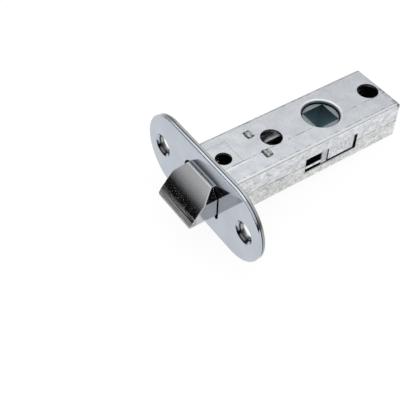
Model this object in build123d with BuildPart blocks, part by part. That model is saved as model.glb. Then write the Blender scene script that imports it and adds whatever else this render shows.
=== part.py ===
from build123d import *

import os
from math import cos, pi, radians, sin

# Tubular door latch, in millimetres. A case folded from two steel shells carries a forend of two
# plates, a bevelled bolt on a forked tail, a follower with a square socket, and two plungers that
# bring the follower back. The origin is on the follower's axis at mid thickness, +X points along
# the bolt to its nose, +Y to the near side of the case, and +Z along the spindle.

os.makedirs("parts", exist_ok=True)

# Case
CASE_WIDTH = 20.0
CASE_THICK = 13.8
SHEET = 0.9
BEND_R = 1.2
CASE_REAR = -23.5
CASE_FRONT = 42.0
HOLE_SPACING = 38.0
HOLE_R = 3.4
FRONT_HOLE = (36.0, -0.5)
FRONT_HOLE_R = 2.55
PANEL_REAR_X = 31.7
PANEL_Y = (-6.1, 3.3)
PANEL_DEPTH = 0.12

# Forend
FOREND_LENGTH = 56.5
FOREND_WIDTH = 26.5
FOREND_FACE = 44.0
PLATE_THICK = 1.05
SCREW_SPACING = 41.2
SCREW_HOLE_R = 2.3
SCREW_SINK_R = 3.85
PLATE_INSET = 0.15
EDGE_ROLL_R = 0.4
EDGE_BREAK = 0.2
OPENING_SIDE_GAP = 0.45
OPENING_GAP = 0.3
OPENING_TOP_R = 4.0
OPENING_FOOT_R = 0.8
FOOT_RELIEF_Y = 7.7
FOOT_RELIEF_Z = -6.1
FOOT_RELIEF_R = 0.6
FLANGE_LUG_Z = (1.4, 4.2)

# Bolt
BOLT_HALF_WIDTH = 8.3
BOLT_HALF_HEIGHT = 5.7
BOLT_TOP_HALF_WIDTH = 6.0
BOLT_SHOULDER_Z = 2.1
BOLT_EDGE_R = 1.9
BEVEL_START_X = 44.85
BEVEL_MIDDLE = (49.2, 1.35)
BEVEL_END = (52.55, -2.8)
BOLT_NOSE_X = 53.4
NOSE_TOP_Z = -4.1
NOSE_TOP_R = 1.6
NOSE_FOOT_R = 1.0
HEAD_FRONT_X = 40.6
HEAD_REAR_X = 35.1
EAR_REACH = 0.55
EAR_FRONT_X = 41.7
SLOT_HALF_WIDTH = 3.4
BORE_R = 3.0
BORE_END_X = 46.0

# Follower
SPINDLE = 8.0
JOURNAL_R = 5.9
JOURNAL_END_Z = 5.7
HUB_R = 6.4
MIDDLE_R = 5.95
ARM_REACH = 8.1
ARM_TIP_R = 0.8
ARM_HALF_HEIGHT = 2.6
HALF_SWING = 36.0
SOCKET_CORNER_R = 0.3
RUNNING_GAP = 0.05
WASHER_THICK = 0.4
WASHER_OVERHANG = 0.5

# Forked tail plates
TAIL_LOW_Z = 2.9
TAIL_THICK = 1.2
TAIL_HALF_WIDTH = 8.8
TAIL_FRONT_X = 40.4
RAIL_INNER_Y = 6.7
PAD_X = (15.1, 21.0)
PAD_INNER_Y = 3.9
FRONT_RAIL_INNER_Y = 6.4
FORK_HEAD_X = 35.4
FORK_HEAD_INNER_Y = 3.6
BRIDGE_REAR_X = 38.9
RIVET_X = 37.4
RIVET_Y = 5.9
RIVET_R = 1.0
RIVET_HEAD_R = 1.7
RIVET_HEAD_THICK = 0.6
HOOK_LOW_Z = 1.45
HOOK_INNER_Y = 6.3

# Spring seat, springs and plungers
SEAT_REAR_X = 22.8
SEAT_FRONT_X = 25.2
LUG_Y = 4.6
LUG_WIDTH = 2.6
LUG_INSET = 0.175
LUG_CHAMFER = 0.25
ROD_R = 1.3
ROD_HEAD_R = 2.0
ROD_HEAD_THICK = 0.35
ROD_TIP_CHAMFER = 0.4
ROD_END_X = 36.0
LATCH_TURNS = 9
LATCH_COIL_R = 2.3
LATCH_WIRE_R = 0.4
RETURN_TURNS = 6
RETURN_COIL_R = 1.35
RETURN_WIRE_R = 0.25
PLUNGER_HALF_HEIGHT = 1.25
PLUNGER_OUTER_Y = 8.75
PLUNGER_FILLET = 0.4
FOOT_REAR_X = -8.2
FOOT_THICK = 1.0
FOOT_Y = (5.5, 8.85)
FOOT_HALF_HEIGHT = 5.6
RETURN_Y = 7.15
PIN_R = 0.9
PIN_END_X = -18.4
PIN_HEAD_R = 1.85
PIN_HEAD_THICK = 0.9

# Side window: the notch of the lower shell, and the tongue, post and sill of the upper one
NOTCH = (-7.0, 13.2)
NOTCH_LOW_Z = -2.9
TONGUE = (-5.6, 4.3)
TONGUE_LOW_Z = -2.05
POST = (4.8, 7.1)
POST_LOW_Z = -2.4
SILL_END_X = 13.0
SILL_Z = (-1.6, -0.6)
WINDOW_TOP_Z = 2.5
LOCATING_LUG = ((33.5, 0.0), (29.1, 1.0), (27.8, 1.0), (27.4, 0.0))

# Sizes that follow from the ones above
HALF_WIDTH = CASE_WIDTH / 2
HALF_THICK = CASE_THICK / 2
INNER_HALF_WIDTH = HALF_WIDTH - SHEET
INNER_HALF_THICK = HALF_THICK - SHEET
COLLAR_R = JOURNAL_R + RUNNING_GAP
COLLAR_LOW_Z = HALF_THICK - 1.9
PLATE_FRONT = CASE_FRONT + PLATE_THICK
TAIL_HIGH_Z = TAIL_LOW_Z + TAIL_THICK
HUB_TOP_Z = COLLAR_LOW_Z - WASHER_THICK - 0.2
MIDDLE_TOP_Z = TAIL_LOW_Z + 0.25
PUSH_FACE_X = ARM_REACH * sin(radians(HALF_SWING)) - ARM_TIP_R - 0.22
HOOK_REAR_X = PUSH_FACE_X - TAIL_THICK
PIN_HEAD_FRONT_X = CASE_REAR + SHEET + PIN_HEAD_THICK
WASHER_Z = COLLAR_LOW_Z - WASHER_THICK
SEAT_X = (SEAT_REAR_X + SEAT_FRONT_X) / 2
SEAT_LENGTH = SEAT_FRONT_X - SEAT_REAR_X


def box_between(x_range, y_range, z_range, mode=Mode.ADD):
    """A box between two limits on each axis, in either order, joined to the part or cut from it."""
    ranges = (x_range, y_range, z_range)
    with Locations(tuple(sum(limits) / 2 for limits in ranges)):
        Box(*(abs(limits[1] - limits[0]) for limits in ranges), mode=mode)


def folded_channel():
    """The U section of the upper shell, open at the seam, run along the case."""
    with BuildSketch(Plane.YZ.offset(CASE_REAR)) as section:
        with BuildLine():
            outside = FilletPolyline(
                (-HALF_WIDTH, 0),
                (-HALF_WIDTH, HALF_THICK),
                (HALF_WIDTH, HALF_THICK),
                (HALF_WIDTH, 0),
                radius=BEND_R,
            )
            inside = FilletPolyline(
                (-INNER_HALF_WIDTH, 0),
                (-INNER_HALF_WIDTH, INNER_HALF_THICK),
                (INNER_HALF_WIDTH, INNER_HALF_THICK),
                (INNER_HALF_WIDTH, 0),
                radius=BEND_R - SHEET,
            )
            Line(outside @ 0, inside @ 0)
            Line(outside @ 1, inside @ 1)
        make_face()
    extrude(section.sketch, amount=CASE_FRONT - CASE_REAR)


def follower_collar():
    """The collar drawn inwards round the follower, with a rolled mouth, in place of the sheet."""
    roll_r = 0.6
    rim_r = COLLAR_R + SHEET
    Hole(rim_r)
    roll = []
    for degrees in (0, 30, 60, 90):
        across = COLLAR_R + roll_r * (1 - cos(radians(degrees)))
        roll.append((across, HALF_THICK - roll_r * (1 - sin(radians(degrees)))))
    with BuildSketch(Plane.XZ) as section:
        with BuildLine():
            Polyline(
                *roll,
                (rim_r + 0.5, HALF_THICK),
                (rim_r + 0.5, INNER_HALF_THICK),
                (rim_r, INNER_HALF_THICK - 0.5),
                (rim_r, COLLAR_LOW_Z),
                (COLLAR_R, COLLAR_LOW_Z),
                close=True,
            )
        make_face()
    revolve(section.sketch, axis=Axis.Z)


def shell_holes():
    """The through-bolt holes, the small front hole and the slots of the staked lugs."""
    with BuildSketch() as outlines:
        with GridLocations(HOLE_SPACING, 1, 2, 1):
            Circle(HOLE_R)
        with Locations(FRONT_HOLE):
            Circle(FRONT_HOLE_R)
        with Locations((SEAT_X, LUG_Y), (SEAT_X, -LUG_Y)):
            Rectangle(SEAT_LENGTH + 0.1, LUG_WIDTH + 0.4)
    extrude(outlines.sketch, amount=CASE_THICK, mode=Mode.SUBTRACT)


def locating_lugs():
    """The small lugs on the lower shell's two edges, for which the upper shell is recessed."""
    with BuildSketch(Plane.XZ.offset(-HALF_WIDTH), mode=Mode.PRIVATE) as outline:
        with BuildLine():
            Polyline(*LOCATING_LUG, close=True)
        make_face()
    near_lug = extrude(outline.sketch, amount=SHEET, mode=Mode.PRIVATE)
    return [near_lug, mirror(near_lug, about=Plane.XZ, mode=Mode.PRIVATE)]


def flange_lugs(z_range):
    """Lugs on both flanges that pass through the forend plate and are peened flush with it."""
    for side in (-1, 1):
        wall = (side * INNER_HALF_WIDTH, side * HALF_WIDTH)
        box_between((CASE_FRONT, PLATE_FRONT), wall, z_range)


def bolt_section(station_x):
    """The bolt's cross-section at a station: steep chamfers above and rounded edges below."""
    with BuildSketch(Plane.YZ.offset(station_x)) as section:
        with BuildLine():
            Polyline(
                (-BOLT_TOP_HALF_WIDTH, BOLT_HALF_HEIGHT),
                (-BOLT_HALF_WIDTH, BOLT_SHOULDER_Z),
                (-BOLT_HALF_WIDTH, -BOLT_HALF_HEIGHT),
                (BOLT_HALF_WIDTH, -BOLT_HALF_HEIGHT),
                (BOLT_HALF_WIDTH, BOLT_SHOULDER_Z),
                (BOLT_TOP_HALF_WIDTH, BOLT_HALF_HEIGHT),
                close=True,
            )
        make_face()
        fillet(section.vertices().group_by(Axis.Y)[0], BOLT_EDGE_R)
    return section.sketch


def forend_openings(thickness, back_x):
    """The bolt's round-shouldered opening with its corner reliefs, and the countersunk holes."""
    with BuildSketch(Plane.YZ.offset(back_x)) as opening:
        half_width = BOLT_HALF_WIDTH + OPENING_SIDE_GAP
        Rectangle(2 * half_width, 2 * (BOLT_HALF_HEIGHT + OPENING_GAP))
        fillet(opening.vertices().group_by(Axis.Y)[-1], OPENING_TOP_R)
        fillet(opening.vertices().group_by(Axis.Y)[0], OPENING_FOOT_R)
        with Locations((-FOOT_RELIEF_Y, FOOT_RELIEF_Z), (FOOT_RELIEF_Y, FOOT_RELIEF_Z)):
            Circle(FOOT_RELIEF_R)
    extrude(opening.sketch, amount=thickness, mode=Mode.SUBTRACT)
    with Locations(Plane.YZ.offset(FOREND_FACE)):
        with GridLocations(SCREW_SPACING, 1, 2, 1):
            CounterSinkHole(SCREW_HOLE_R, SCREW_SINK_R, counter_sink_angle=90)


def rod_along_x(start_x, end_x, radius, y=0.0, mode=Mode.ADD):
    """A round bar parallel to X between two stations."""
    with BuildSketch(Plane.YZ.offset(start_x)) as section:
        with Locations((y, 0)):
            Circle(radius)
    extrude(section.sketch, amount=end_x - start_x, mode=mode)


def coil(start_x, end_x, turns, coil_r, wire_r, y=0.0):
    """An open coil spring along X: six-sided wire run round in eight straight lengths a turn."""
    sides = 8
    length = end_x - start_x - 2 * wire_r
    stations = []
    for step in range(turns * sides + 1):
        angle = 2 * pi * step / sides
        along = start_x + wire_r + length * step / (turns * sides)
        stations.append((along, y + coil_r * cos(angle), coil_r * sin(angle)))
    with BuildLine() as path:
        Polyline(*stations)
    with BuildSketch(Plane(origin=path.line @ 0, z_dir=path.line % 0)) as section:
        RegularPolygon(wire_r, 6)
    sweep(section.sketch, path=path.line, transition=Transition.RIGHT)


# Upper shell: channel, rear flap, collar, a shallow panel at the front, and the tongue, post and
# sill that reach into the window
with BuildPart() as case_upper:
    folded_channel()
    box_between(
        (CASE_REAR, CASE_REAR + SHEET),
        (0.1 - INNER_HALF_WIDTH, INNER_HALF_WIDTH - 0.1),
        (0.1 - INNER_HALF_THICK, HALF_THICK),
    )
    follower_collar()
    shell_holes()
    for side in (-1, 1):
        wall = (side * INNER_HALF_WIDTH, side * HALF_WIDTH)
        box_between(TONGUE, wall, (TONGUE_LOW_Z, 0))
        box_between(POST, wall, (POST_LOW_Z, 0))
        box_between((POST[1], SILL_END_X), wall, SILL_Z)
        box_between((TONGUE[1], POST[0]), wall, (0, WINDOW_TOP_Z), Mode.SUBTRACT)
        box_between((POST[1], NOTCH[1]), wall, (0, WINDOW_TOP_Z), Mode.SUBTRACT)
        box_between((NOTCH[0], TONGUE[0]), wall, (0, WINDOW_TOP_Z + 0.4), Mode.SUBTRACT)
    add(locating_lugs(), mode=Mode.SUBTRACT)
    flange_lugs(FLANGE_LUG_Z)
    panel_z = (HALF_THICK - PANEL_DEPTH, HALF_THICK)
    box_between((PANEL_REAR_X, CASE_FRONT), PANEL_Y, panel_z, Mode.SUBTRACT)
    rear_top = case_upper.edges().filter_by(Axis.Y).group_by(Axis.Z)[-1].sort_by(Axis.X)[0]
    fillet(rear_top, BEND_R / 2)
case_upper.part.label = "case_upper"
export_step(case_upper.part, "parts/case_upper.step")

# Lower shell: the same channel and collar turned over, with the window's notch and locating lugs
with BuildPart() as case_lower:
    folded_channel()
    follower_collar()
    shell_holes()
    flange_lugs(FLANGE_LUG_Z)
    mirror(about=Plane.XY)
    split(bisect_by=Plane.XY, keep=Keep.BOTTOM)
    for side in (-1, 1):
        wall = (side * INNER_HALF_WIDTH, side * HALF_WIDTH)
        box_between(NOTCH, wall, (NOTCH_LOW_Z, 0), Mode.SUBTRACT)
    add(locating_lugs())
case_lower.part.label = "case_lower"
export_step(case_lower.part, "parts/case_lower.step")

# Forend plate: a steel plate with full-round ends, slotted for the flange lugs
with BuildPart() as forend_plate:
    with BuildSketch(Plane.YZ.offset(CASE_FRONT)):
        SlotOverall(FOREND_LENGTH - 2 * PLATE_INSET, FOREND_WIDTH - 2 * PLATE_INSET)
        with GridLocations(CASE_WIDTH - SHEET, sum(FLANGE_LUG_Z), 2, 2):
            Rectangle(SHEET, FLANGE_LUG_Z[1] - FLANGE_LUG_Z[0], mode=Mode.SUBTRACT)
    extrude(amount=PLATE_THICK)
    forend_openings(PLATE_THICK, CASE_FRONT)
    chamfer(forend_plate.faces().sort_by(Axis.X)[0].outer_wire().edges(), EDGE_BREAK)
forend_plate.part.label = "forend_plate"
export_step(forend_plate.part, "parts/forend_plate.step")

# Forend cover: the face plate, rolled over at its front edge
with BuildPart() as forend_cover:
    with BuildSketch(Plane.YZ.offset(PLATE_FRONT)):
        SlotOverall(FOREND_LENGTH, FOREND_WIDTH)
    extrude(amount=FOREND_FACE - PLATE_FRONT)
    fillet(forend_cover.faces().sort_by(Axis.X)[-1].outer_wire().edges(), EDGE_ROLL_R)
    chamfer(forend_cover.faces().sort_by(Axis.X)[0].outer_wire().edges(), EDGE_BREAK)
    forend_openings(FOREND_FACE - PLATE_FRONT, PLATE_FRONT)
forend_cover.part.label = "forend_cover"
export_step(forend_cover.part, "parts/forend_cover.step")

# Bolt: a curved bevel down to a rounded nose, on a head slotted and bored for its spring
with BuildPart() as latch_bolt:
    with BuildSketch(Plane.XZ) as side_profile:
        with BuildLine():
            outline = Polyline(
                (BEVEL_START_X, BOLT_HALF_HEIGHT),
                (HEAD_FRONT_X, BOLT_HALF_HEIGHT),
                (HEAD_FRONT_X, -BOLT_HALF_HEIGHT),
                (BOLT_NOSE_X, -BOLT_HALF_HEIGHT),
                (BOLT_NOSE_X, NOSE_TOP_Z),
                BEVEL_END,
            )
            ThreePointArc(outline @ 1, BEVEL_MIDDLE, outline @ 0)
        make_face()
        fillet(side_profile.vertices().group_by(Axis.X)[-1].sort_by(Axis.Y)[0], NOSE_FOOT_R)
        fillet(side_profile.vertices().group_by(Axis.X)[-1].sort_by(Axis.Y)[-1], NOSE_TOP_R)
    extrude(amount=BOLT_HALF_WIDTH, both=True)
    extrude(bolt_section(HEAD_FRONT_X), amount=BOLT_NOSE_X - HEAD_FRONT_X, mode=Mode.INTERSECT)
    ear_y = BOLT_HALF_WIDTH + EAR_REACH
    box_between((HEAD_REAR_X, EAR_FRONT_X), (-ear_y, ear_y), (-TAIL_LOW_Z, TAIL_LOW_Z))
    box_between(
        (HEAD_REAR_X, TAIL_FRONT_X),
        (-SLOT_HALF_WIDTH, SLOT_HALF_WIDTH),
        (-BOLT_HALF_HEIGHT, BOLT_HALF_HEIGHT),
        Mode.SUBTRACT,
    )
    rod_along_x(HEAD_REAR_X, BORE_END_X, BORE_R, mode=Mode.SUBTRACT)
    with Locations((RIVET_X, RIVET_Y), (RIVET_X, -RIVET_Y)):
        Hole(RIVET_R)
latch_bolt.part.label = "latch_bolt"
export_step(latch_bolt.part, "parts/latch_bolt.step")

# Tail plates: two forks that straddle the follower, each with hooks bent down behind its arms
with BuildPart() as tail_plate_upper:
    with BuildSketch(Plane.XY.offset(TAIL_LOW_Z)):
        with BuildLine():
            Polyline(
                (TAIL_FRONT_X, 0),
                (TAIL_FRONT_X, TAIL_HALF_WIDTH),
                (HOOK_REAR_X, TAIL_HALF_WIDTH),
                (HOOK_REAR_X, RAIL_INNER_Y),
                (PAD_X[0], RAIL_INNER_Y),
                (PAD_X[0], PAD_INNER_Y),
                (PAD_X[1], PAD_INNER_Y),
                (PAD_X[1], FRONT_RAIL_INNER_Y),
                (FORK_HEAD_X, FRONT_RAIL_INNER_Y),
                (FORK_HEAD_X, FORK_HEAD_INNER_Y),
                (BRIDGE_REAR_X, FORK_HEAD_INNER_Y),
                (BRIDGE_REAR_X, 0),
            )
            mirror(about=Plane.XZ)
        make_face()
    extrude(amount=TAIL_THICK)
    for side in (-1, 1):
        box_between(
            (HOOK_REAR_X, PUSH_FACE_X),
            (side * HOOK_INNER_Y, side * TAIL_HALF_WIDTH),
            (HOOK_LOW_Z, TAIL_LOW_Z),
        )
    with Locations((RIVET_X, RIVET_Y), (RIVET_X, -RIVET_Y)):
        Hole(RIVET_R)
tail_plate_upper.part.label = "tail_plate_upper"
export_step(tail_plate_upper.part, "parts/tail_plate_upper.step")

with BuildPart() as tail_plate_lower:
    add(mirror(tail_plate_upper.part, about=Plane.XY))
tail_plate_lower.part.label = "tail_plate_lower"
export_step(tail_plate_lower.part, "parts/tail_plate_lower.step")

# Tail rivets: two shanks through the plates and the bolt's head, set to flat heads at both ends
with BuildPart() as tail_rivets:
    with Locations((RIVET_X, RIVET_Y), (RIVET_X, -RIVET_Y)):
        Cylinder(RIVET_HEAD_R, 2 * (TAIL_HIGH_Z + RIVET_HEAD_THICK))
        Cylinder(RIVET_HEAD_R, 2 * TAIL_HIGH_Z, mode=Mode.SUBTRACT)
        Cylinder(RIVET_R, 2 * TAIL_HIGH_Z)
tail_rivets.part.label = "tail_rivets"
export_step(tail_rivets.part, "parts/tail_rivets.step")

# Spring seat: a block across the case, staked through both shells by four lugs
with BuildPart() as spring_seat:
    seat_span = (-LUG_Y - 1.5, LUG_Y + 1.5)
    box_between((SEAT_REAR_X, SEAT_FRONT_X), seat_span, (-INNER_HALF_THICK, INNER_HALF_THICK))
    with Locations((SEAT_X, LUG_Y), (SEAT_X, -LUG_Y)):
        Box(SEAT_LENGTH - 2 * LUG_INSET, LUG_WIDTH, CASE_THICK)
    lug_ends = spring_seat.faces().filter_by(Axis.Z)
    chamfer((lug_ends.group_by(Axis.Z)[0] + lug_ends.group_by(Axis.Z)[-1]).edges(), LUG_CHAMFER)
    rod_along_x(SEAT_REAR_X, SEAT_FRONT_X, ROD_R, mode=Mode.SUBTRACT)
spring_seat.part.label = "spring_seat"
export_step(spring_seat.part, "parts/spring_seat.step")

# Spring rod: headed behind the seat, its free end chamfered
with BuildPart() as spring_rod:
    rod_along_x(SEAT_REAR_X - ROD_HEAD_THICK, SEAT_REAR_X, ROD_HEAD_R)
    rod_along_x(SEAT_REAR_X, ROD_END_X, ROD_R)
    chamfer(spring_rod.faces().sort_by(Axis.X)[-1].edges(), ROD_TIP_CHAMFER)
spring_rod.part.label = "spring_rod"
export_step(spring_rod.part, "parts/spring_rod.step")

with BuildPart() as latch_spring:
    coil(SEAT_FRONT_X, BORE_END_X, LATCH_TURNS, LATCH_COIL_R, LATCH_WIRE_R)
latch_spring.part.label = "latch_spring"
export_step(latch_spring.part, "parts/latch_spring.step")

# Follower: journals, hub and middle on one axis, two round-tipped arms, and the square socket
with BuildPart() as follower:
    Cylinder(JOURNAL_R, 2 * JOURNAL_END_Z)
    Cylinder(HUB_R, 2 * HUB_TOP_Z)
    Cylinder(HUB_R, 2 * MIDDLE_TOP_Z, mode=Mode.SUBTRACT)
    Cylinder(MIDDLE_R, 2 * MIDDLE_TOP_Z)
    with BuildSketch(Plane.XY.offset(-ARM_HALF_HEIGHT)):
        for side in (-1, 1):
            angle = side * (90 - HALF_SWING)
            tip = (ARM_REACH * cos(radians(angle)), ARM_REACH * sin(radians(angle)))
            with Locations((tip[0] / 2, tip[1] / 2)):
                Rectangle(ARM_REACH, 2 * ARM_TIP_R - 0.4, rotation=angle)
            with Locations(tip):
                Circle(ARM_TIP_R)
    extrude(amount=2 * ARM_HALF_HEIGHT)
    with BuildSketch(Plane.XY.offset(-JOURNAL_END_Z)) as socket:
        Rectangle(SPINDLE, SPINDLE)
        fillet(socket.vertices(), SOCKET_CORNER_R)
    extrude(amount=2 * JOURNAL_END_Z, mode=Mode.SUBTRACT)
follower.part.label = "follower"
export_step(follower.part, "parts/follower.step")

# Follower washers: a thin ring on each journal, between the hub and the collar
for name, side in (("upper", 1), ("lower", -1)):
    with BuildPart() as washer:
        with BuildSketch(Plane.XY.offset(side * WASHER_Z)):
            Circle(HUB_R + WASHER_OVERHANG)
            Circle(JOURNAL_R, mode=Mode.SUBTRACT)
        extrude(amount=WASHER_THICK / 2, both=True)
    washer.part.label = f"follower_washer_{name}"
    export_step(washer.part, f"parts/follower_washer_{name}.step")

# Return plungers, springs and headed pins: one set on each side of the rear through-bolt hole
for name, side in (("near", 1), ("far", -1)):
    with BuildPart() as plunger:
        body_y = (side * HOOK_INNER_Y, side * PLUNGER_OUTER_Y)
        body_z = (-PLUNGER_HALF_HEIGHT, PLUNGER_HALF_HEIGHT)
        box_between((FOOT_REAR_X, PUSH_FACE_X), body_y, body_z)
        foot_x = (FOOT_REAR_X, FOOT_REAR_X + FOOT_THICK)
        foot_z = (-FOOT_HALF_HEIGHT, FOOT_HALF_HEIGHT)
        box_between(foot_x, (side * FOOT_Y[0], side * FOOT_Y[1]), foot_z)
        fillet(plunger.edges().filter_by(Axis.Z).group_by(Axis.X)[-1], PLUNGER_FILLET)
    plunger.part.label = f"return_plunger_{name}"
    export_step(plunger.part, f"parts/return_plunger_{name}.step")

    with BuildPart() as return_spring:
        spring_y = side * RETURN_Y
        coil(PIN_HEAD_FRONT_X, FOOT_REAR_X, RETURN_TURNS, RETURN_COIL_R, RETURN_WIRE_R, spring_y)
    return_spring.part.label = f"return_spring_{name}"
    export_step(return_spring.part, f"parts/return_spring_{name}.step")

    with BuildPart() as return_pin:
        rod_along_x(CASE_REAR + SHEET, PIN_HEAD_FRONT_X, PIN_HEAD_R, side * RETURN_Y)
        rod_along_x(PIN_HEAD_FRONT_X, PIN_END_X, PIN_R, side * RETURN_Y)
    return_pin.part.label = f"return_pin_{name}"
    export_step(return_pin.part, f"parts/return_pin_{name}.step")
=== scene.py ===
# %% [markdown]
# A tubular door latch, dressed for a studio picture.
# The latch is a steel case that slides into a bored door. A square spindle turns its follower, which
# draws a bevelled bolt back through the forend, the plate that shows on the door's edge.
# Its solids are already made, in metres, with the origin on the spindle's axis, +X towards the bolt's
# nose and +Z up. This lesson gives each of them a finish, makes the springs as real round wire, and
# sets up the camera, the floor and the light.

import bpy
import numpy as np
from mathutils import Matrix, Vector


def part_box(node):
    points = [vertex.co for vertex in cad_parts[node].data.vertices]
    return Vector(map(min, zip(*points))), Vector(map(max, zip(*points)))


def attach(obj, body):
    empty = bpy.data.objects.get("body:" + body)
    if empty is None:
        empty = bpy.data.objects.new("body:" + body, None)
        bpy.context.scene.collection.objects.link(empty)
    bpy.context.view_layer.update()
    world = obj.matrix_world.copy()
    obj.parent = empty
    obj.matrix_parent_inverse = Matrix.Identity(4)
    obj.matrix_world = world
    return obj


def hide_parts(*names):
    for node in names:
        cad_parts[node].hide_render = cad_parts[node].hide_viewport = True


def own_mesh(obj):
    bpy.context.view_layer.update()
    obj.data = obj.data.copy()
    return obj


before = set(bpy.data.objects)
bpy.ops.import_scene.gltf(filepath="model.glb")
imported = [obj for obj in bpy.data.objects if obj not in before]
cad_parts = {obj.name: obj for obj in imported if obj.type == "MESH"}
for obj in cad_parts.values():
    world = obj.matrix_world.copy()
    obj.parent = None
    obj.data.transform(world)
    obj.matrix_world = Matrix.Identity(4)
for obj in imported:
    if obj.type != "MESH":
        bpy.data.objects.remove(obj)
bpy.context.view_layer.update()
MM = 0.001
print("pieces loaded:", len(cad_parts))

# %% [markdown]
# The camera looks down on the bolt's end from the near side of the case. Its direction is two angles
# and a slight roll, its distance and focal length are those at which the latch's long edges converge
# as they do in the picture, and it aims at a point near the forend.

# %% Camera
AZIMUTH = 144.379
ELEVATION = 48.135
ROLL = 1.713
DISTANCE = 239.382 * MM
FOCAL_LENGTH = 75.405
AIM = np.array([47.102, 3.98, 0.0]) * MM


def camera_axes(azimuth, elevation, roll):
    """The camera's right, up and back directions.

    back = (sin a cos e, -cos a cos e, sin e), right = (cos a, sin a, 0) and up = back x right, and
    then right and up are turned about back by the roll.
    """
    a, e, r = np.radians([azimuth, elevation, roll])
    back = np.array([np.sin(a) * np.cos(e), -np.cos(a) * np.cos(e), np.sin(e)])
    right = np.array([np.cos(a), np.sin(a), 0.0])
    up = np.cross(back, right)
    turned_right = np.cos(r) * right + np.sin(r) * up
    turned_up = np.cos(r) * up - np.sin(r) * right
    return turned_right, turned_up, back


right, up, back = camera_axes(AZIMUTH, ELEVATION, ROLL)
camera_matrix = Matrix.Identity(4)
for column, direction in enumerate((right, up, back, AIM + back * DISTANCE)):
    for row in range(3):
        camera_matrix[row][column] = direction[row]
lens = bpy.data.cameras.new("studio_camera")
lens.lens = FOCAL_LENGTH
lens.sensor_width = 36.0
lens.sensor_fit = "HORIZONTAL"
lens.clip_start = 0.01
lens.dof.use_dof = False
camera = bpy.data.objects.new("studio_camera", lens)
camera.matrix_world = camera_matrix
bpy.context.scene.collection.objects.link(camera)
bpy.context.scene.camera = camera
print("camera at", [round(value / MM, 1) for value in camera.location], "mm")

# %% [markdown]
# A metal object is a picture of its room, so the surroundings are part of its finish. The latch lies
# on a white table, on two of its own edges: the foot of the forend and the rear foot of the case.
# The table is white to the camera and in the metal, and still takes the latch's soft shadow.


# %% Table
def mesh_object(name, vertices, faces):
    """An object at the origin whose mesh is an array of points and an array of point numbers."""
    mesh = bpy.data.meshes.new(name)
    mesh.from_pydata(np.asarray(vertices).tolist(), [], [list(map(int, face)) for face in faces])
    mesh.update()
    made = bpy.data.objects.new(name, mesh)
    bpy.context.scene.collection.objects.link(made)
    return made


TABLE_REACH = 1.2
TABLE_GAP = 0.02 * MM
FOOT_INSET = 0.5 * MM
cover_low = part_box("forend_cover")[0]
case_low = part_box("case_lower")[0]
forend_foot = np.array([cover_low.x + FOOT_INSET, cover_low.z])
case_foot = np.array([case_low.x, case_low.z])
slope = (forend_foot[1] - case_foot[1]) / (forend_foot[0] - case_foot[0])
table_x = np.array([-TABLE_REACH, TABLE_REACH, TABLE_REACH, -TABLE_REACH])
table_y = np.array([-TABLE_REACH, -TABLE_REACH, TABLE_REACH, TABLE_REACH])
table_z = case_foot[1] + slope * (table_x - case_foot[0]) - TABLE_GAP
table = mesh_object("table", np.column_stack([table_x, table_y, table_z]), [(0, 1, 2, 3)])
print("table tilted by", round(float(np.degrees(np.arctan(slope))), 2), "degrees")

# %% [markdown]
# Every finish below is a small tree of shader nodes. These helpers keep each tree short: one starts a
# material, one makes a node with its settings, and one joins an output to an input.


# %% Shader helpers
def start_material(name):
    """A new node material, with its tree and its principled shader."""
    material = bpy.data.materials.new(name)
    material.use_nodes = True
    return material, material.node_tree, material.node_tree.nodes["Principled BSDF"]


def add_node(tree, kind, inputs=None, **settings):
    """One shader node, its plain settings by name and its inputs by name or number."""
    made = tree.nodes.new(kind)
    for name, value in settings.items():
        setattr(made, name, value)
    for name, value in (inputs or {}).items():
        if isinstance(value, bpy.types.NodeSocket):
            tree.links.new(value, made.inputs[name])
        else:
            made.inputs[name].default_value = value
    return made


def calculate(tree, operation, first, second):
    """first and second joined by one arithmetic operation, clamped from 0 to 1."""
    made = add_node(tree, "ShaderNodeMath", {0: first, 1: second}, operation=operation)
    made.use_clamp = True
    return made.outputs[0]


def ramp(tree, value, *stops):
    """A colour ramp through stops, each a place from 0 to 1 and a grey level or a colour."""
    made = add_node(tree, "ShaderNodeValToRGB", {"Fac": value})
    elements = made.color_ramp.elements
    while len(elements) < len(stops):
        elements.new(0.5)
    for element, (place, level) in zip(elements, stops):
        element.position = place
        colour = (level, level, level) if isinstance(level, (int, float)) else level
        element.color = (*colour, 1.0)
    return made.outputs["Color"]


def blend_colours(tree, amount, first, second, mode="MIX"):
    """second laid over first by an amount, in one of the paint program modes."""
    made = add_node(tree, "ShaderNodeMix", data_type="RGBA", blend_type=mode)
    for socket, value in ((0, amount), (6, first), (7, second)):
        if isinstance(value, bpy.types.NodeSocket):
            tree.links.new(value, made.inputs[socket])
        elif socket == 0:
            made.inputs[socket].default_value = value
        else:
            made.inputs[socket].default_value = (*value, 1.0)
    return made.outputs[2]


def rescale(tree, value, low, high):
    """A value from 0 to 1 moved to the range from low to high."""
    made = add_node(tree, "ShaderNodeMapRange", {"Value": value, "To Min": low, "To Max": high})
    return made.outputs["Result"]


print("shader helpers ready")

# %% [markdown]
# Wear is noise with a direction. The same noise texture makes cloudy patches when it is fed the
# object's own coordinates evenly, and long scratches when one axis is stretched, because the noise
# then changes slowly along that axis and fast across it. Sizes are given in millimetres.


# %% Surface patterns
def patches(tree, size, detail=4.0, seed=0.0):
    """Cloudy noise whose patches are about the given size in millimetres, from 0 to 1."""
    place = add_node(tree, "ShaderNodeTexCoord").outputs["Object"]
    inputs = {"Vector": place, "W": seed, "Scale": 1.0 / (size * MM), "Detail": detail}
    return add_node(tree, "ShaderNodeTexNoise", inputs, noise_dimensions="4D").outputs["Fac"]


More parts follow.
